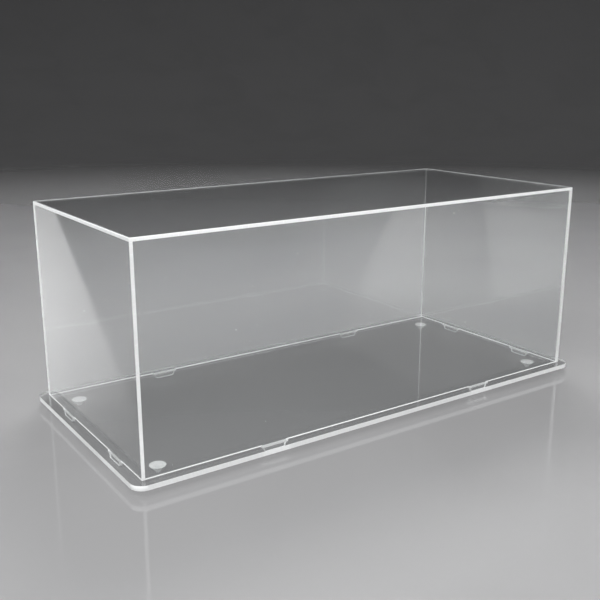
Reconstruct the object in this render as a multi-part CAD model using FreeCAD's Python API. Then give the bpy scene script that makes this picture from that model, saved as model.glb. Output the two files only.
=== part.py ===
import FreeCAD, Part
import os

# Clear display case: a five-panel acrylic cover whose tabs drop into a slotted base plate on four feet.
# Millimetres. X runs along the length, Y from front to back, Z up. Origin on the table under the middle.

# Cover, outside
COVER_LENGTH = 345.0
COVER_WIDTH = 154.0
COVER_HEIGHT = 134.0
WALL_SHEET = 2.0
TOP_SHEET = 2.0
CEMENT_FILM = 0.05

# Base plate
BASE_SHEET = 3.0
BASE_MARGIN = 6.5
BASE_CORNER_RADIUS = 8.0
ARRIS = 0.3

# Locating tabs under the four walls, and their slots
TAB_ROOT_LENGTH = 18.0
TAB_TIP_LENGTH = 14.0
TAB_BELOW_BASE = 3.2
TAB_TIP_ROUND = 0.8
TAB_SPACING_LONG = 172.5
TAB_SPACING_SHORT = 77.0
SLOT_CLEARANCE = 0.2
SEAT_GAP = 0.05

# Conical feet stuck under the base
FOOT_HEIGHT = 4.4
FOOT_TOP_DIAMETER = 9.8
FOOT_RIM = 0.5
FOOT_WAIST_DIAMETER = 4.4
FOOT_WAIST_HEIGHT = 1.3
FOOT_TIP_DIAMETER = 2.8
FOOT_TIP_ROUND = 0.4
FOOT_INSET = 16.8

# Heights that follow from the sizes above
BASE_UNDER = FOOT_HEIGHT + CEMENT_FILM
BASE_TOP = BASE_UNDER + BASE_SHEET
WALL_BOTTOM = BASE_TOP + SEAT_GAP
COVER_TOP = WALL_BOTTOM + COVER_HEIGHT
WALL_TOP = COVER_TOP - TOP_SHEET - CEMENT_FILM
TAB_TIP_Z = BASE_UNDER - TAB_BELOW_BASE


def vec(x, y, z):
    return FreeCAD.Vector(x, y, z)


def tab_centres(spacing):
    """The two tabs of a wall sit evenly about its middle."""
    return (-spacing / 2, spacing / 2)


def wall_outline(length, spacing):
    """Corner points (along, up) of a wall sheet: a rectangle with two tapered tabs on its lower edge."""
    half = length / 2
    points = [(-half, WALL_TOP), (-half, WALL_BOTTOM)]
    for centre in tab_centres(spacing):
        points += [
            (centre - TAB_ROOT_LENGTH / 2, WALL_BOTTOM),
            (centre - TAB_TIP_LENGTH / 2, TAB_TIP_Z),
            (centre + TAB_TIP_LENGTH / 2, TAB_TIP_Z),
            (centre + TAB_ROOT_LENGTH / 2, WALL_BOTTOM),
        ]
    return points + [(half, WALL_BOTTOM), (half, WALL_TOP)]


def edges_within(edges, low, high):
    """Edges that lie between two heights."""
    return [edge for edge in edges if edge.BoundBox.ZMin > low - 0.001 and edge.BoundBox.ZMax < high + 0.001]


def edges_at(shape, z):
    """Edges of a shape that lie flat at one height."""
    return edges_within(shape.Edges, z, z)


def across(sheet):
    """Edges that run through the thickness of a sheet in the XZ plane."""
    return [edge for edge in sheet.Edges if edge.BoundBox.YLength > WALL_SHEET / 2]


def lengthwise(sheet):
    """Edges round the two faces of a sheet in the XZ plane."""
    return [edge for edge in sheet.Edges if edge.BoundBox.YLength < WALL_SHEET / 2]


def sheet_from_outline(points, thickness):
    """Extrude an outline in the XZ plane towards +Y, with the corners of its tabs rounded and its lower rims eased."""
    corners = [vec(along, 0, up) for along, up in points]
    face = Part.Face(Part.makePolygon(corners + corners[:1]))
    sheet = face.extrude(vec(0, thickness, 0))
    sheet = sheet.makeFillet(TAB_TIP_ROUND, edges_within(across(sheet), TAB_TIP_Z, TAB_TIP_Z))
    return sheet.makeChamfer(ARRIS, edges_within(lengthwise(sheet), TAB_TIP_Z, WALL_BOTTOM))


def long_wall():
    """Front or back wall: fits between the two end walls."""
    length = COVER_LENGTH - 2 * (WALL_SHEET + CEMENT_FILM)
    return sheet_from_outline(wall_outline(length, TAB_SPACING_LONG), WALL_SHEET)


def end_wall():
    """Left or right wall: runs the full width of the cover."""
    wall = sheet_from_outline(wall_outline(COVER_WIDTH, TAB_SPACING_SHORT), WALL_SHEET)
    wall.rotate(vec(0, 0, 0), vec(0, 0, 1), 90)
    return wall


def top_panel():
    """Lid sheet, cemented on the upper edges of all four walls, with its upper rim eased."""
    sheet = Part.makeBox(
        COVER_LENGTH, COVER_WIDTH, TOP_SHEET,
        vec(-COVER_LENGTH / 2, -COVER_WIDTH / 2, COVER_TOP - TOP_SHEET),
    )
    return sheet.makeChamfer(ARRIS, edges_at(sheet, COVER_TOP))




def base_blank():
    """Base sheet with rounded corners and eased rims."""
    length = COVER_LENGTH + 2 * BASE_MARGIN
    width = COVER_WIDTH + 2 * BASE_MARGIN
    sheet = Part.makeBox(length, width, BASE_SHEET, vec(-length / 2, -width / 2, BASE_UNDER))
    uprights = [edge for edge in sheet.Edges if edge.BoundBox.ZLength > BASE_SHEET / 2]
    sheet = sheet.makeFillet(BASE_CORNER_RADIUS, uprights)
    return sheet.makeChamfer(ARRIS, edges_at(sheet, BASE_UNDER) + edges_at(sheet, BASE_TOP))


def slot_cutter():
    """One slot along X, a running clearance larger than the tab root all round."""
    length = TAB_ROOT_LENGTH + 2 * SLOT_CLEARANCE
    width = WALL_SHEET + 2 * SLOT_CLEARANCE
    return Part.makeBox(length, width, 3 * BASE_SHEET, vec(-length / 2, -width / 2, BASE_UNDER - BASE_SHEET))


def base_plate():
    """Slotted base: two slots under each wall."""
    plate = base_blank()
    wall_y = COVER_WIDTH / 2 - WALL_SHEET / 2
    wall_x = COVER_LENGTH / 2 - WALL_SHEET / 2
    for side in (-1, 1):
        for along in tab_centres(TAB_SPACING_LONG):
            plate = plate.cut(slot_cutter().translated(vec(along, side * wall_y, 0)))
        for along in tab_centres(TAB_SPACING_SHORT):
            slot = slot_cutter()
            slot.rotate(vec(0, 0, 0), vec(0, 0, 1), 90)
            plate = plate.cut(slot.translated(vec(side * wall_x, along, 0)))
    return plate


def foot():
    """Clear conical foot, turned about Z: a flat head under the base that narrows to a waist and a rounded tip."""
    head = FOOT_TOP_DIAMETER / 2
    corners = [
        vec(0, 0, 0),
        vec(FOOT_TIP_DIAMETER / 2, 0, 0),
        vec(FOOT_WAIST_DIAMETER / 2, 0, FOOT_WAIST_HEIGHT),
        vec(head, 0, FOOT_HEIGHT - FOOT_RIM),
        vec(head, 0, FOOT_HEIGHT),
        vec(0, 0, FOOT_HEIGHT),
    ]
    profile = Part.Face(Part.makePolygon(corners + corners[:1]))
    body = profile.revolve(vec(0, 0, 0), vec(0, 0, 1), 360)
    return body.makeFillet(FOOT_TIP_ROUND, edges_at(body, 0))


def build():
    """Every piece at its place in the closed case, by node name."""
    half_length = COVER_LENGTH / 2
    half_width = COVER_WIDTH / 2
    pieces = {
        "base_plate": base_plate(),
        "front_panel": long_wall().translated(vec(0, -half_width, 0)),
        "back_panel": long_wall().translated(vec(0, half_width - WALL_SHEET, 0)),
        "left_panel": end_wall().translated(vec(-half_length + WALL_SHEET, 0, 0)),
        "right_panel": end_wall().translated(vec(half_length, 0, 0)),
        "top_panel": top_panel(),
    }
    for side_y, depth in ((-1, "front"), (1, "back")):
        for side_x, hand in ((-1, "left"), (1, "right")):
            place = vec(side_x * (half_length - FOOT_INSET), side_y * (half_width - FOOT_INSET), 0)
            pieces["foot_" + depth + "_" + hand] = foot().translated(place)
    return pieces


os.makedirs("parts", exist_ok=True)
for node, shape in build().items():
    shape.exportStep("parts/" + node + ".step")
    box = shape.BoundBox
    print(node, shape.isValid(), len(shape.Solids), round(shape.Volume, 1), round(box.XLength, 2),
          round(box.YLength, 2), round(box.ZLength, 2), "z from", round(box.ZMin, 2))
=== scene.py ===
# %% [markdown]
# # A clear display case
# The object is a dust cover for a scale model. Five flat sheets of clear acrylic are cemented into a
# box without a floor. Tabs on the lower edges of its walls drop into slots in a base plate, which stands
# on four small clear feet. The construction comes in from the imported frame, and this lesson gives it its
# looks. Every length is in metres.

# %% Load the frame
import bpy
import bmesh
import math
from mathutils import Matrix, Vector


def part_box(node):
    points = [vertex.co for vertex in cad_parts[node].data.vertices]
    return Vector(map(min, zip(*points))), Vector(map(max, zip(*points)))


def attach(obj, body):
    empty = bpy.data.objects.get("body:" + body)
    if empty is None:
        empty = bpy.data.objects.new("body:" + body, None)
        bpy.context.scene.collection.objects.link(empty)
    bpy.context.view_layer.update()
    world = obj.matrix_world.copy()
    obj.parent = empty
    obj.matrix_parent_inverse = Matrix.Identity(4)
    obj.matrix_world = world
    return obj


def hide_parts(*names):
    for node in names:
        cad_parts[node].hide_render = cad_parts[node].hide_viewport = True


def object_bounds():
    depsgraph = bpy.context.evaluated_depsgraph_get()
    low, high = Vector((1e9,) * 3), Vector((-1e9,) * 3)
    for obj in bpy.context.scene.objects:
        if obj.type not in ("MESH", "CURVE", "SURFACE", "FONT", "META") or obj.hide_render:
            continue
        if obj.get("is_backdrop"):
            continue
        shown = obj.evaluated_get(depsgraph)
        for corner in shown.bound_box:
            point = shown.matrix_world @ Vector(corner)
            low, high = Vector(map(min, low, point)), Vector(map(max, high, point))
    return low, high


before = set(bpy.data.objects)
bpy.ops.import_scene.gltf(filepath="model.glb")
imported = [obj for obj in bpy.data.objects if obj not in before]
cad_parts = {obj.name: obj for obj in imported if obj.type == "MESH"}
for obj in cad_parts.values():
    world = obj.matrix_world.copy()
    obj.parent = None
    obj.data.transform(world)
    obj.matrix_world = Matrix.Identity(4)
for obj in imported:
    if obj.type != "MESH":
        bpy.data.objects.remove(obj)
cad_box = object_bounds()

print("pieces in the frame:", ", ".join(sorted(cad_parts)))
print("size of the case:", [round(high - low, 4) for low, high in zip(*cad_box)])

# %% [markdown]
# ## What the frame already says
# The sheets' sizes and places are read from the frame, so that nothing is typed twice. A box can't tell
# the shape of a locating tab, where it sits along its wall, or how loose it is in its slot, so those few
# sizes are written here, as the construction has them.

# %% Sizes read from the frame, and the few that it can't give
base_low, base_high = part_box("base_plate")
front_low, front_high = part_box("front_panel")
top_low, top_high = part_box("top_panel")
left_low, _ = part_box("left_panel")

sheet = front_high[1] - front_low[1]
seat_gap = 0.00005
wall_bottom = base_high[2] + seat_gap
wall_top = front_high[2]
tab_tip = front_low[2]
left_reach = -left_low[0]
front_reach = -front_low[1]

tab_root_length = 0.018
tab_tip_length = 0.014
tab_spacing_long = 0.1725
tab_spacing_short = 0.077
slot_clearance = 0.0002

print("sheet", round(sheet, 5), "cover height", round(top_high[2] - wall_bottom, 4))
print("tab reach", round(wall_bottom - tab_tip, 4))

# %% [markdown]
# ## Tools for marks
# Clear plastic is never perfectly clear: it carries scratches, haze and dust. Each of these is used by
# more than one finish, so each becomes a node group with a mask as its output. A photograph of a
# scratched sheet would do too, but noise made by nodes has no seams and stays sharp close up. These
# helpers keep the node code short.

# %% Helpers for node groups
def new_group(name, inputs):
    """A shader node group with number inputs (name, value) and a mask as its output."""
    group = bpy.data.node_groups.new(name, "ShaderNodeTree")
    vector = group.interface.new_socket("Vector", in_out="INPUT", socket_type="NodeSocketVector")
    vector.hide_value = True
    for label, value in inputs:
        socket = group.interface.new_socket(label, in_out="INPUT", socket_type="NodeSocketFloat")
        socket.default_value = value
    group.interface.new_socket("Mask", in_out="OUTPUT", socket_type="NodeSocketFloat")
    start = group.nodes.new("NodeGroupInput")
    end = group.nodes.new("NodeGroupOutput")
    return group, start, end


def add_node(tree, kind, **settings):
    """A node of one kind with its settings."""
    node = tree.nodes.new(kind)
    for key, value in settings.items():
        setattr(node, key, value)
    return node


def plug(tree, value, socket):
    """Feed a socket from another socket, or set its value."""
    if isinstance(value, bpy.types.NodeSocket):
        tree.links.new(value, socket)
    else:
        socket.default_value = value


def maths(tree, operation, first, second=0.0):
    """One Math node, with its result."""
    node = add_node(tree, "ShaderNodeMath", operation=operation)
    plug(tree, first, node.inputs[0])
    plug(tree, second, node.inputs[1])
    return node.outputs[0]


def scaled_sum(tree, base, *parts):
    """A plain value plus masks, each multiplied by its own amount."""
    total = base
    for mask, amount in parts:
        total = maths(tree, "ADD", maths(tree, "MULTIPLY", mask, amount), total)
    return total


def band(tree, value, low, high):
    """Values from low to high become 0 to 1."""
    node = add_node(tree, "ShaderNodeMapRange", interpolation_type="SMOOTHSTEP")
    plug(tree, value, node.inputs["Value"])
    plug(tree, low, node.inputs["From Min"])
    plug(tree, high, node.inputs["From Max"])
    return node.outputs["Result"]


marks = {}
print("helpers for node groups are ready")

# %% [markdown]
# ## Hairline scratches
# Wiping a case with a cloth leaves fine scratches in a few directions. Noise that is stretched a hundred
# times longer one way than the other breaks into short thin lines by itself. Three such layers, each
# turned differently, are laid over one another. Drawn curves would be too regular.

# %% Scratches
scratch_layers = ((0.35, 2600.0), (1.25, 2100.0), (-0.8, 3100.0))
scratch_tilt = 0.7
along_scratch = 22.0
scratch_band = (0.7, 0.78)


def hairline_scratches():
    """Thin lines in three directions, broken up so that each is short."""
    group, start, end = new_group("hairline_scratches", [("Amount", 1.0)])
    total = None
    for turn, fineness in scratch_layers:
        turned = add_node(group, "ShaderNodeMapping")
        turned.inputs["Rotation"].default_value = (turn, turn * scratch_tilt, turn)
        turned.inputs["Scale"].default_value = (fineness, along_scratch, along_scratch)
        group.links.new(start.outputs["Vector"], turned.inputs["Vector"])
        lines = add_node(group, "ShaderNodeTexNoise")
        lines.inputs["Scale"].default_value = 1.0
        lines.inputs["Detail"].default_value = 1.0
        group.links.new(turned.outputs["Vector"], lines.inputs["Vector"])
        thin = band(group, lines.outputs["Fac"], *scratch_band)
        total = thin if total is None else maths(group, "MAXIMUM", total, thin)
    mask = maths(group, "MULTIPLY", total, start.outputs["Amount"])
    group.links.new(mask, end.inputs["Mask"])
    return group


marks["hairline_scratches"] = hairline_scratches()
print("scratches in", len(scratch_layers), "directions")

# %% [markdown]
# ## Haze and dust
# Hands leave soft dull patches a few centimetres wide, and dust settles as separate specks. Haze is plain
# noise with its contrast raised. For the specks, a Voronoi texture gives each cell a centre and a random
# colour: one channel of the colour sets the speck's size, and another decides whether it is there at all.

# %% Haze and dust
haze_band = (0.42, 0.72)
largest_speck = 0.06


def handling_haze():
    """Soft patches where hands and cloths have been."""
    group, start, end = new_group("handling_haze", [("Scale", 28.0)])
    patches = add_node(group, "ShaderNodeTexNoise")
    patches.inputs["Detail"].default_value = 4.0
    patches.inputs["Distortion"].default_value = 0.6
    group.links.new(start.outputs["Vector"], patches.inputs["Vector"])
    group.links.new(start.outputs["Scale"], patches.inputs["Scale"])
    group.links.new(band(group, patches.outputs["Fac"], *haze_band), end.inputs["Mask"])
    return group


def dust_specks():
    """Sparse round specks a fraction of a millimetre wide, each of its own size."""
    group, start, end = new_group("dust_specks", [("Scale", 240.0), ("Amount", 0.1)])
    cells = add_node(group, "ShaderNodeTexVoronoi")
    group.links.new(start.outputs["Vector"], cells.inputs["Vector"])
    group.links.new(start.outputs["Scale"], cells.inputs["Scale"])
    split = add_node(group, "ShaderNodeSeparateColor")
    group.links.new(cells.outputs["Color"], split.inputs["Color"])
    radius = maths(group, "MULTIPLY", split.outputs["Red"], largest_speck)
    speck = maths(group, "LESS_THAN", cells.outputs["Distance"], radius)
    chosen = maths(group, "LESS_THAN", split.outputs["Green"], start.outputs["Amount"])
    group.links.new(maths(group, "MULTIPLY", speck, chosen), end.inputs["Mask"])
    return group


marks["handling_haze"] = handling_haze()
marks["dust_specks"] = dust_specks()
print("haze and dust are ready")

# %% [markdown]
# ## Cutter lines
# A saw or router leaves fine ripples on a cut edge, straight through the sheet. Noise gives uneven
# ripples. To make them run straight through, the material squashes the coordinates flat along the sheet's
# thickness before they come in here, so that the noise can't change in that direction.

# %% Cutter lines
ripple_band = (0.3, 0.7)


def cutter_lines():
    """Fine ripples that a cutter leaves across an edge."""
    group, start, end = new_group("cutter_lines", [("Scale", 3200.0)])
    lines = add_node(group, "ShaderNodeTexNoise")
    lines.inputs["Detail"].default_value = 3.0
    group.links.new(start.outputs["Vector"], lines.inputs["Vector"])
    group.links.new(start.outputs["Scale"], lines.inputs["Scale"])
    group.links.new(band(group, lines.outputs["Fac"], *ripple_band), end.inputs["Mask"])
    return group


marks["cutter_lines"] = cutter_lines()
print("node groups:", ", ".join(marks))

# %% [markdown]
# ## A clear shader that lets lamps through
# All the clear finishes bend light as the real plastics do. Light from a lamp that is bent by glass takes
# very long to render cleanly, so shadow rays, and only those, meet a Transparent shader instead. It takes
# a tenth of the light at each surface, and that gives the case its soft grey shadow.

# %% The clear shader and its helpers
acrylic_ior = 1.49
clean_acrylic = (0.975, 0.985, 0.985, 1.0)
shadow_tint = (0.9, 0.9, 0.9, 1.0)


def clear_material(name, ior, through):
    """A material for clear stuff, with its node tree and its Principled shader."""
    material = bpy.data.materials.new(name)
    material.use_nodes = True
    tree = material.node_tree
    tree.nodes.clear()
    shader = add_node(tree, "ShaderNodeBsdfPrincipled")
    shader.inputs["Base Color"].default_value = clean_acrylic
    shader.inputs["IOR"].default_value = ior
    shader.inputs["Transmission Weight"].default_value = through
    lamp_light = add_node(tree, "ShaderNodeBsdfTransparent")
    lamp_light.inputs["Color"].default_value = shadow_tint
    path = add_node(tree, "ShaderNodeLightPath")
    mix = add_node(tree, "ShaderNodeMixShader")
    output = add_node(tree, "ShaderNodeOutputMaterial")
    tree.links.new(path.outputs["Is Shadow Ray"], mix.inputs[0])
    tree.links.new(shader.outputs["BSDF"], mix.inputs[1])
    tree.links.new(lamp_light.outputs["BSDF"], mix.inputs[2])
    tree.links.new(mix.outputs["Shader"], output.inputs["Surface"])
    return material, tree, shader


def object_place(tree):
    """Where a point is on the object."""
    return add_node(tree, "ShaderNodeTexCoord").outputs["Object"]


def mark(tree, place, name, **values):
    """Put a node group in a material and give its mask."""
    node = add_node(tree, "ShaderNodeGroup", node_tree=marks[name])
    tree.links.new(place, node.inputs["Vector"])
    for label, value in values.items():
        node.inputs[label].default_value = value
    return node.outputs["Mask"]


def tinted(tree, shader, clean, marked, mask):
    """Base colour that goes from clean to marked with a mask."""
    node = add_node(tree, "ShaderNodeMix", data_type="RGBA")
    plug(tree, mask, node.inputs["Factor"])
    node.inputs["A"].default_value = clean
    node.inputs["B"].default_value = marked
    tree.links.new(node.outputs["Result"], shader.inputs["Base Color"])


def raised(tree, shader, height, strength, distance):
    """A bump from a height mask."""
    node = add_node(tree, "ShaderNodeBump")
    node.inputs["Strength"].default_value = strength
    node.inputs["Distance"].default_value = distance
    plug(tree, height, node.inputs["Height"])
    tree.links.new(node.outputs["Normal"], shader.inputs["Normal"])


print("acrylic bends light by", acrylic_ior)

# %% [markdown]
# ## The polished face
# The face of a sheet comes polished from the factory, under a film that is peeled off last. It nearly
# vanishes: only the marks on it and what it mirrors can be seen. The marks change its roughness a little
# and tint it where dust lies, and the scratches are a faint bump too.

# %% Polished face
dusty_acrylic = (0.86, 0.87, 0.87, 1.0)
face_clear = 1.0
face_roughness = 0.004
scratch_depth = 0.00005


def polished_face():
    """Factory-polished sheet with a few wiping scratches, haze and dust."""
    material, tree, shader = clear_material("acrylic_polished_face", acrylic_ior, face_clear)
    place = object_place(tree)
    scratches = mark(tree, place, "hairline_scratches", Amount=0.6)
    haze = mark(tree, place, "handling_haze", Scale=24.0)
    dust = mark(tree, place, "dust_specks", Scale=260.0, Amount=0.02)
    rough = scaled_sum(tree, face_roughness, (haze, 0.02), (scratches, 0.1), (dust, 0.4))
    tree.links.new(rough, shader.inputs["Roughness"])
    tinted(tree, shader, clean_acrylic, dusty_acrylic, dust)
    raised(tree, shader, scratches, strength=0.04, distance=scratch_depth)
    return material


face_finish = polished_face()
print("finish:", face_finish.name)

# %% [markdown]
# ## The cut edge
# A cut edge is frosted by the cutter, which is why the eye sees the edges of such a case first: they
# gather light and glow, while the faces nearly vanish. The frost scatters most of the light, so only a
# little of this shader is clear. The cutter lines have to run through the sheet, so there is one such
# finish for each direction that a sheet can be thin in.

# %% Cut edges
edge_clear = 0.12
edge_roughness = 0.16
ripple_depth = 0.00005
edge_bright = (0.95, 0.96, 0.96, 1.0)
edge_dull = (0.9, 0.915, 0.915, 1.0)


def cut_edge(thin_axis):
    """Cut edge of a sheet that is thin along one axis."""
    name = "acrylic_cut_edge_" + "xyz"[thin_axis]
    material, tree, shader = clear_material(name, acrylic_ior, edge_clear)
    place = object_place(tree)
    squashed = add_node(tree, "ShaderNodeMapping")
    flat = [1.0, 1.0, 1.0]
    flat[thin_axis] = 0.0
    squashed.inputs["Scale"].default_value = flat
    tree.links.new(place, squashed.inputs["Vector"])
    lines = mark(tree, squashed.outputs["Vector"], "cutter_lines", Scale=3800.0)
    dust = mark(tree, place, "dust_specks", Scale=420.0, Amount=0.12)
    rough = scaled_sum(tree, edge_roughness, (lines, 0.12), (dust, 0.3))
    tree.links.new(rough, shader.inputs["Roughness"])
    tinted(tree, shader, edge_bright, edge_dull, lines)
    raised(tree, shader, lines, strength=0.08, distance=ripple_depth)
    return material


edge_finish = [cut_edge(axis) for axis in range(3)]
print("finishes:", ", ".join(material.name for material in edge_finish))

# %% [markdown]
# ## The clear rubber
# The feet are a soft clear rubber. It is milky next to acrylic, and its skin is satin, so less than half
# of its shader is clear. Haze at a finer scale makes the skin a little uneven. A scattering volume would
# be truer inside, but at a few millimetres nobody can tell.

# %% Clear rubber
rubber_ior = 1.46
rubber_clear = 0.45
rubber_roughness = 0.08
skin_depth = 0.0001
rubber_bright = (0.93, 0.94, 0.94, 1.0)
rubber_dull = (0.86, 0.87, 0.86, 1.0)


def clear_rubber():
    """Soft clear foot: slightly milky, with a satin skin."""
    material, tree, shader = clear_material("clear_rubber_foot", rubber_ior, rubber_clear)
    place = object_place(tree)
    haze = mark(tree, place, "handling_haze", Scale=420.0)
    dust = mark(tree, place, "dust_specks", Scale=900.0, Amount=0.2)
    rough = scaled_sum(tree, rubber_roughness, (haze, 0.12), (dust, 0.3))
    tree.links.new(rough, shader.inputs["Roughness"])
    tinted(tree, shader, rubber_bright, rubber_dull, haze)
    raised(tree, shader, haze, strength=0.1, distance=skin_depth)
    return material


foot_finish = clear_rubber()
print("finish:", foot_finish.name)

# %% [markdown]
# ## From a bmesh to a piece of the case
# Each sheet has two finishes, so its mesh carries both: slot 0 on the polished faces and slot 1 on
# whatever was cut. The finished piece sits at the origin with its place in its mesh, takes over from its
# plain solid in the frame, and rides on the same body as that solid. A maker eases the sharp corners of a
# cut sheet with a scraper, and a small rounded bevel does the same here.

# %% Helpers to finish a piece
eased = 0.00025
ease_steps = 2
flat_normal = 0.999


def ease(bm, edges, amount, steps):
    """Round some edges over, and shade the new strips smooth."""
    strips = bmesh.ops.bevel(
        bm, geom=edges, offset=amount, offset_type="OFFSET", segments=steps,
        profile=0.5, affect="EDGES", clamp_overlap=True, material=-1,
    )
    for face in strips["faces"]:
        face.smooth = True


def mark_cut_faces(bm, axis):
    """Slot 1 for every face that doesn't lie flat on the sheet."""
    for face in bm.faces:
        face.normal_update()
        face.material_index = 0 if abs(face.normal[axis]) > flat_normal else 1


def finish_piece(bm, name, node, body, materials):
    """Write a bmesh to a new object that stands for a node of the frame."""
    bmesh.ops.recalc_face_normals(bm, faces=bm.faces)
    mesh = bpy.data.meshes.new(name)
    bm.to_mesh(mesh)
    bm.free()
    for material in materials:
        mesh.materials.append(material)
    piece = bpy.data.objects.new(name, mesh)
    bpy.context.scene.collection.objects.link(piece)
    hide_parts(node)
    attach(piece, body)
    print(name, "has", len(mesh.polygons), "faces")
    return piece


print("corners are eased by", eased * 1000, "mm")

# %% [markdown]
# ## The outline of a wall
# A wall is cut from 2 mm sheet in one pass, tabs and all. The tabs taper so that they find their slots
# when the cover comes down. The outline is one face with twelve corners. A box with smaller boxes joined
# on would leave seams inside the clear sheet, and in clear plastic every seam shows.

# %% Outline of a wall, and tests for its edges
def wall_corners(half, spacing):
    """Corners (along, up) of a wall: a rectangle with two tapered tabs below."""
    corners = [(-half, wall_top), (-half, wall_bottom)]
    for centre in (-spacing / 2, spacing / 2):
        for side, length, height in (
            (-1, tab_root_length, wall_bottom), (-1, tab_tip_length, tab_tip),
            (1, tab_tip_length, tab_tip), (1, tab_root_length, wall_bottom),
        ):
            corners.append((centre + side * length / 2, height))
    return corners + [(half, wall_bottom), (half, wall_top)]


def runs_through(edge, axis):
    """True for an edge that goes through the thickness of a sheet."""
    first, second = (vertex.co for vertex in edge.verts)
    return abs(first[axis] - second[axis]) > sheet / 2


def highest(edge):
    """The height of an edge's upper end."""
    return max(vertex.co.z for vertex in edge.verts)


def thicken(bm, faces, step):
    """Extrude flat faces by a step."""
    grown = bmesh.ops.extrude_face_region(bm, geom=faces)
    moved = [item for item in grown["geom"] if isinstance(item, bmesh.types.BMVert)]
    bmesh.ops.translate(bm, verts=moved, vec=step)


print("corners of a wall:", len(wall_corners(front_reach, tab_spacing_short)))

# %% [markdown]
# ## The four walls
# The flat outline is extruded by the sheet's thickness. Then the corners of the tabs' tips are rounded, as
# a router bit leaves them, and the lower rims are eased. The long walls stand between the end walls. All
# four are made by one function, which is told along which axis the sheet is thin.

# %% Cut the walls
tab_tip_round = 0.0008
tip_steps = 5


def wall(name, node, spacing, thick_axis):
    """One wall sheet. thick_axis is 0 for an end wall and 1 for a long wall."""
    low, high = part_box(node)
    along_axis = 1 - thick_axis
    half = (high[along_axis] - low[along_axis]) / 2
    bm = bmesh.new()
    corners = []
    for along, up in wall_corners(half, spacing):
        point = Vector((0.0, 0.0, up))
        point[along_axis] = along
        point[thick_axis] = low[thick_axis]
        corners.append(bm.verts.new(point))
    step = Vector((0.0, 0.0, 0.0))
    step[thick_axis] = high[thick_axis] - low[thick_axis]
    thicken(bm, [bm.faces.new(corners)], step)
    through = [edge for edge in bm.edges if runs_through(edge, thick_axis)]
    ease(bm, [edge for edge in through if highest(edge) < tab_tip + sheet], tab_tip_round, tip_steps)
    rims = [edge for edge in bm.edges if not runs_through(edge, thick_axis)]
    ease(bm, [edge for edge in rims if highest(edge) < wall_bottom + sheet], eased, ease_steps)
    mark_cut_faces(bm, thick_axis)
    finishes = [face_finish, edge_finish[thick_axis]]
    return finish_piece(bm, name, node, "cover", finishes)


wall("front_wall_sheet", "front_panel", tab_spacing_long, 1)
wall("back_wall_sheet", "back_panel", tab_spacing_long, 1)
wall("left_wall_sheet", "left_panel", tab_spacing_short, 0)
wall("right_wall_sheet", "right_panel", tab_spacing_short, 0)

# %% [markdown]
# ## The top sheet
# The top lies on all four walls, so its own cut edges show round the rim. A cube that is scaled to the
# sheet is all it takes. Its upper rim and upright corners are eased, and the lower rim stays square,
# because cement only holds where the sheets meet flat.

# %% Lay the top sheet
def top_sheet():
    """A cube scaled to the sheet, with its upper rim and upright corners eased."""
    low, high = Vector(top_low), Vector(top_high)
    bm = bmesh.new()
    bmesh.ops.create_cube(bm, size=1.0)
    bmesh.ops.scale(bm, vec=high - low, verts=bm.verts)
    bmesh.ops.translate(bm, vec=(high + low) / 2, verts=bm.verts)
    middle = (high.z + low.z) / 2
    ease(bm, [edge for edge in bm.edges if highest(edge) > middle], eased, ease_steps)
    mark_cut_faces(bm, 2)
    finishes = [face_finish, edge_finish[2]]
    return finish_piece(bm, "top_sheet", "top_panel", "cover", finishes)


top_sheet()

# %% [markdown]
# ## The outline and the slots of the base
# The base is a thicker sheet with round corners and eight slots, two under each wall. A face of a bmesh
# can't hold a hole, so the outline and the slots are drawn as closed loops of edges first. A bevel of the
# four corner vertices rounds the outline. Every slot takes its place and size from the tab that goes in.

# %% Loops for the base
base_corner_radius = 0.008
corner_steps = 20


def rounded_outline(bm):
    """Edges of the base's outline at its lower face."""
    (x0, y0, z0), (x1, y1, _) = base_low, base_high
    points = ((x0, y0, z0), (x1, y0, z0), (x1, y1, z0), (x0, y1, z0))
    corners = [bm.verts.new(point) for point in points]
    bm.faces.new(corners)
    bmesh.ops.bevel(
        bm, geom=corners, offset=base_corner_radius, offset_type="OFFSET", segments=corner_steps,
        profile=0.5, affect="VERTICES", clamp_overlap=True, material=-1,
    )
    bmesh.ops.delete(bm, geom=list(bm.faces), context="FACES_ONLY")
    return list(bm.edges)


def slot_loop(bm, x, y, half_x, half_y):
    """Edges round one slot."""
    signs = ((-1, -1), (1, -1), (1, 1), (-1, 1))
    points = [(x + side_x * half_x, y + side_y * half_y, base_low[2]) for side_x, side_y in signs]
    corners = [bm.verts.new(point) for point in points]
    return [bm.edges.new((corners[i - 1], corners[i])) for i in range(len(corners))]


def slot_loops(bm):
    """Edges round all the slots: two under every wall."""
    half_long = (tab_root_length + 2 * slot_clearance) / 2
    half_thick = (sheet + 2 * slot_clearance) / 2
    long_wall_y = front_reach - sheet / 2
    end_wall_x = left_reach - sheet / 2
    edges = []
    for side in (-1, 1):
        for end in (-1, 1):
            edges += slot_loop(bm, end * tab_spacing_long / 2, side * long_wall_y, half_long, half_thick)
            edges += slot_loop(bm, side * end_wall_x, end * tab_spacing_short / 2, half_thick, half_long)
    return edges


print("base corners have a radius of", base_corner_radius * 1000, "mm")

# %% [markdown]
# ## The slotted base
# triangle_fill fills what lies between the outline and the slots, and the filled sheet is extruded by its
# thickness. A boolean cut would do as well, but it leaves less even faces. Only the outer rims are eased:
# the slots stay as sharp as they were cut.

# %% Cut the base
sharp_rim = math.radians(60)


def on_outline(edge):
    """True for an edge outside the cover, on the base's own rim."""
    outside = sheet / 2
    return all(
        abs(vertex.co.x) > left_reach + outside or abs(vertex.co.y) > front_reach + outside
        for vertex in edge.verts
    )


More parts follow.
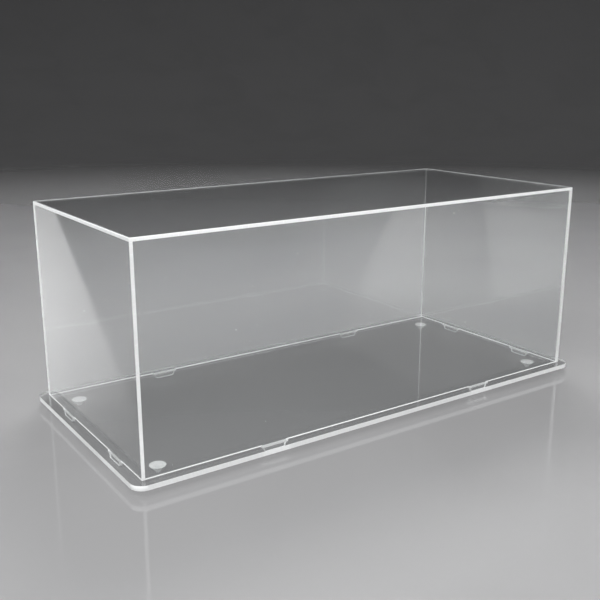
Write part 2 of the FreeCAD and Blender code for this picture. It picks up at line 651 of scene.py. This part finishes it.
def base_sheet():
    """Fill the outline round the slots, extrude it, and ease both outer rims."""
    bm = bmesh.new()
    edges = rounded_outline(bm)
    edges += slot_loops(bm)
    bmesh.ops.triangle_fill(bm, use_beauty=True, use_dissolve=False, edges=edges)
    thicken(bm, list(bm.faces), Vector((0.0, 0.0, base_high[2] - base_low[2])))
    bmesh.ops.recalc_face_normals(bm, faces=bm.faces)
    rims = [edge for edge in bm.edges if on_outline(edge) and edge.calc_face_angle() > sharp_rim]
    rims = [edge for edge in rims if not runs_through(edge, 2)]
    for face in bm.faces:
        face.smooth = max(abs(part) for part in face.normal) < flat_normal
    ease(bm, rims, eased, ease_steps)
    mark_cut_faces(bm, 2)
    finishes = [face_finish, edge_finish[2]]
    return finish_piece(bm, "slotted_base_sheet", "base_plate", "base", finishes)


base_sheet()

# %% [markdown]
# ## The feet
# Each foot is a small cone of clear rubber, with a flat head stuck under the base, a slight waist, and a
# blunt tip on the table. Half of its outline is drawn once and spun about its own axis, as a moulded
# round part is designed. The places where the outline turns are then rounded.

# %% Spin the feet
foot_tip_radius = 0.0014
foot_waist_radius = 0.0022
foot_waist_height = 0.0013
foot_rim = 0.0005
foot_steps = 48
turn_steps = 3
sharp_turn = math.radians(20)
weld = 0.000001


def spun_foot(name, node):
    """A closed cone with a straight rim, rounded where the outline turns."""
    low, high = (Vector(corner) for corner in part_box(node))
    axis = Vector(((low.x + high.x) / 2, (low.y + high.y) / 2, low.z))
    head_radius = (high.x - low.x) / 2
    height = high.z - low.z
    outline = (
        (0.0, 0.0), (foot_tip_radius, 0.0), (foot_waist_radius, foot_waist_height),
        (head_radius, height - foot_rim), (head_radius, height), (0.0, height),
    )
    bm = bmesh.new()
    vertices = [bm.verts.new(axis + Vector((radius, 0.0, up))) for radius, up in outline]
    edges = [bm.edges.new(pair) for pair in zip(vertices, vertices[1:])]
    bmesh.ops.spin(
        bm, geom=vertices + edges, cent=axis, axis=(0.0, 0.0, 1.0), angle=math.tau,
        steps=foot_steps, use_merge=True,
    )
    bmesh.ops.remove_doubles(bm, verts=bm.verts, dist=weld)
    bmesh.ops.recalc_face_normals(bm, faces=bm.faces)
    inner = [edge for edge in bm.edges if len(edge.link_faces) == 2]
    turns = [edge for edge in inner if edge.calc_face_angle() > sharp_turn]
    for face in bm.faces:
        face.smooth = abs(face.normal.z) < flat_normal
    ease(bm, turns, eased, turn_steps)
    return finish_piece(bm, name, node, "base", [foot_finish])


for node in sorted(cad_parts):
    if node.startswith("foot_"):
        spun_foot(node + "_cone", node)

# %% [markdown]
# ## The floor
# Clear plastic shows only what it bends and mirrors, so its surroundings make it readable. The floor is a
# plain pale grey with a gloss, and it curves up into a wall all round, so that every side has the same
# background and no corner shows in the panels. One line is spun twice: first into the curve, then round.

# %% Lay the floor
floor_radius = 1.6
sweep_radius = 1.2
floor_steps = 96
sweep_steps = 12
floor_pale = (0.24, 0.24, 0.2425, 1.0)
floor_shade = (0.228, 0.228, 0.2305, 1.0)
floor_roughness = 0.06


def gloss_paint():
    """Pale paint with a gloss that is a little uneven."""
    material = bpy.data.materials.new("pale_gloss_paint")
    material.use_nodes = True
    tree = material.node_tree
    shader = tree.nodes["Principled BSDF"]
    haze = mark(tree, object_place(tree), "handling_haze", Scale=6.0)
    tinted(tree, shader, floor_pale, floor_shade, haze)
    rough = scaled_sum(tree, floor_roughness, (haze, 0.03))
    tree.links.new(rough, shader.inputs["Roughness"])
    return material


def studio_floor():
    """A round floor that sweeps up into a wall all round."""
    bm = bmesh.new()
    centre = bm.verts.new((0.0, 0.0, 0.0))
    rim = bm.verts.new((floor_radius, 0.0, 0.0))
    bm.edges.new((centre, rim))
    bmesh.ops.spin(
        bm, geom=[rim], cent=(floor_radius, 0.0, sweep_radius), axis=(0.0, -1.0, 0.0),
        angle=math.pi / 2, steps=sweep_steps,
    )
    bmesh.ops.spin(
        bm, geom=list(bm.verts) + list(bm.edges), cent=(0.0, 0.0, 0.0), axis=(0.0, 0.0, 1.0),
        angle=math.tau, steps=floor_steps, use_merge=True,
    )
    bmesh.ops.remove_doubles(bm, verts=bm.verts, dist=weld)
    bmesh.ops.recalc_face_normals(bm, faces=bm.faces)
    for face in bm.faces:
        face.smooth = True
    mesh = bpy.data.meshes.new("studio_floor")
    bm.to_mesh(mesh)
    bm.free()
    mesh.materials.append(gloss_paint())
    floor = bpy.data.objects.new("studio_floor", mesh)
    bpy.context.scene.collection.objects.link(floor)
    floor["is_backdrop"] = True
    return floor


floor = studio_floor()
print("floor", 2 * (floor_radius + sweep_radius), "m wide")

# %% [markdown]
# ## The high lamps
# Three softboxes hang above the case: one overhead, and one each to its front and back for the cut edges.
# They are hidden from mirror and refraction rays, or they would show as white slabs in the base and on
# the floor. The light itself still passes the sheets, because shadow rays find them transparent.

# %% Hang the high lamps
high_spread = 120.0


def softbox(name, place, target, size, power, spread, roll=0.0):
    """A rectangular lamp at a place, turned to a target and rolled, that the camera doesn't see."""
    lamp = bpy.data.lights.new(name, "AREA")
    lamp.shape = "RECTANGLE"
    lamp.size, lamp.size_y = size
    lamp.energy = power
    lamp.spread = math.radians(spread)
    holder = bpy.data.objects.new(name, lamp)
    holder.location = place
    aim = (Vector(target) - Vector(place)).to_track_quat("-Z", "Y").to_matrix()
    holder.rotation_euler = (aim @ Matrix.Rotation(math.radians(roll), 3, "Z")).to_euler()
    holder.visible_camera = False
    holder.visible_transmission = False
    bpy.context.scene.collection.objects.link(holder)
    return holder


case_middle = (0.0, 0.0, 0.05)
high_lamps = [
    softbox("overhead_softbox", (-0.1, 0.0, 1.5), (0.0, 0.0, 0.0), (0.9, 0.9), 2.4, high_spread),
    softbox("front_softbox", (-0.8, -0.8, 1.32), case_middle, (1.0, 0.25), 20.0, high_spread),
    softbox("rear_softbox", (0.65, 0.8, 1.35), case_middle, (1.0, 0.25), 7.0, high_spread),
]
for lamp in high_lamps:
    lamp.visible_glossy = False
print("high lamps:", ", ".join(lamp.name for lamp in high_lamps))

# %% [markdown]
# ## The low lamps
# Upright panels seen from above mirror the floor, and a glossy floor mirrors lamps that stand low. That is
# how a panel gets a bright wedge with a straight edge. For each of three panels, a weak lamp with a narrow
# beam is aimed at the camera's mirror image in that panel, sunk below the floor. These lamps reach the
# floor alone, and only as a reflection. Brighter ones would dazzle from the other sides.

# %% Stand the low lamps
low_spread = 24.0
camera_in_left_wall = (-0.01, -0.46, -0.22)
camera_in_right_wall = (0.68, -0.46, -0.22)
camera_in_back_wall = (-0.33, 0.62, -0.22)

low_lamps = [
    softbox(
        "back_left_softbox", (-0.5, 1.6, 0.42), camera_in_left_wall,
        (0.5, 0.75), 0.075, low_spread, roll=-16.0,
    ),
    softbox(
        "left_softbox", (-1.28, 0.93, 0.34), camera_in_right_wall,
        (0.55, 0.7), 0.09, low_spread, roll=-14.0,
    ),
    softbox(
        "front_right_softbox", (1.2, -1.1, 0.35), camera_in_back_wall,
        (0.6, 0.5), 0.035, low_spread, roll=25.0,
    ),
]
lit_by_low_lamps = bpy.data.collections.new("lit_by_low_lamps")
lit_by_low_lamps.objects.link(floor)
for lamp in low_lamps:
    lamp.visible_diffuse = False
    lamp.light_linking.receiver_collection = lit_by_low_lamps
print("low lamps:", ", ".join(lamp.name for lamp in low_lamps))

# %% [markdown]
# ## The room
# A little even light from all round keeps the darkest corners from going black. A sky picture would light
# the case too, but its shapes would show in every panel.

# %% Dim the room
room_light = (0.05, 0.05, 0.052, 1.0)

room = bpy.data.worlds.new("dim_room")
room.use_nodes = True
room.node_tree.nodes["Background"].inputs["Color"].default_value = room_light
bpy.context.scene.world = room
print("room light:", room_light[:3])

# %% [markdown]
# ## The camera
# The camera was found by matching the eight corners of the cover: a normal lens, a little above the case
# and to the left of its front, so that the long front wall and the left end both show. The heading and
# the dip are turned into a direction to look in, which is easier to adjust than three Euler angles.

# %% Set the camera
camera_place = Vector((-0.3348, -0.4643, 0.2202))
camera_heading = math.radians(34.533)
camera_dip = math.radians(15.097)
camera_lens = 50.0
nearest_seen = 0.01

view = Vector((
    math.cos(camera_dip) * math.sin(camera_heading),
    math.cos(camera_dip) * math.cos(camera_heading),
    -math.sin(camera_dip),
))
camera_data = bpy.data.cameras.new("photo_camera")
camera_data.lens = camera_lens
camera_data.clip_start = nearest_seen
camera = bpy.data.objects.new("photo_camera", camera_data)
camera.location = camera_place
camera.rotation_euler = view.to_track_quat("-Z", "Y").to_euler()
bpy.context.scene.collection.objects.link(camera)
bpy.context.scene.camera = camera
print("camera", round(camera_place.length, 3), "m from the middle of the case")

# %% [markdown]
# ## Enough bounces for clear sheets
# A sight line can pass ten or more surfaces of the case before it meets the floor. With too few bounces
# the last sheets turn black, so the limits are raised. The Standard view keeps greys as they were lit.

# %% Light paths and tone
clear_bounces = 32
mirror_bounces = 12

settings = bpy.context.scene.cycles
settings.max_bounces = clear_bounces
settings.transmission_bounces = clear_bounces
settings.transparent_max_bounces = clear_bounces
settings.glossy_bounces = mirror_bounces
bpy.context.scene.view_settings.view_transform = "Standard"
print("bounces:", clear_bounces)

# %% [markdown]
# ## Is it still the same size?
# Looks must not change the construction's size. The box of the plain solids was kept at the start, and the
# box of the finished pieces is measured now. Both are put side by side in one table, and their largest
# difference is printed.

# %% Compare the boxes and finish
visual_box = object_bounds()
boxes = {"cad": [list(corner) for corner in cad_box], "visual": [list(corner) for corner in visual_box]}
pairs = zip(sum(boxes["cad"], []), sum(boxes["visual"], []))
print("largest difference:", round(max(abs(cad - visual) for cad, visual in pairs), 6))
